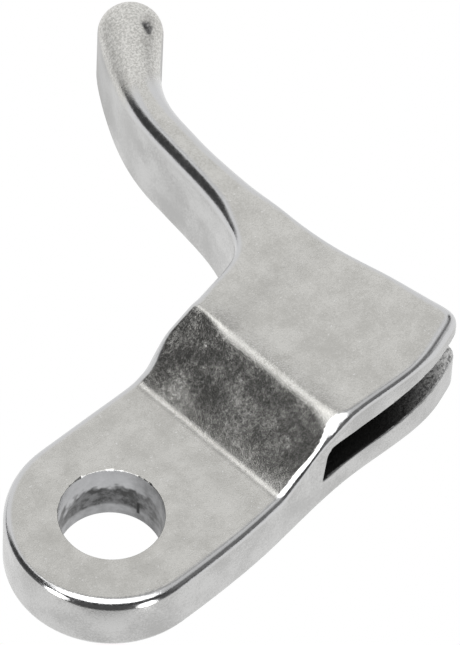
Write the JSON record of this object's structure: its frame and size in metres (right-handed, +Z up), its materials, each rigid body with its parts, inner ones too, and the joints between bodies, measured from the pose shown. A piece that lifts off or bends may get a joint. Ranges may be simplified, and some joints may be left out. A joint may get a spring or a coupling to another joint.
{
  "type": "clutch lever",
  "caption": "Small polished alloy clutch lever: round pivot eye with a plain bush, sloped step, slotted cable plate and a curved finger horn.",
  "frame": {"origin": "on the pivot axis, at the underside of the eye", "axes": "+Z up along the pivot axis, +X from the eye along the link to the slotted plate, +Y to the side of the finger horn"},
  "size_m": [0.0413, 0.0428, 0.0088],
  "materials": {
    "cast_alloy": "tumbled and polished casting, satin faces and bright edges",
    "bush_metal": "satin, worn bearing metal"
  },
  "bodies": {
    "bush": {"pivot_bush": "bush_metal"},
    "lever": {"lever_body": "cast_alloy"}
  },
  "joints": [
    {"name": "lever_swing", "type": "hinge", "parent": "bush", "child": "lever", "pos_m": [0, 0, 0.0028], "axis": [0, 0, 1], "range_deg": [0, 30]}
  ]
}
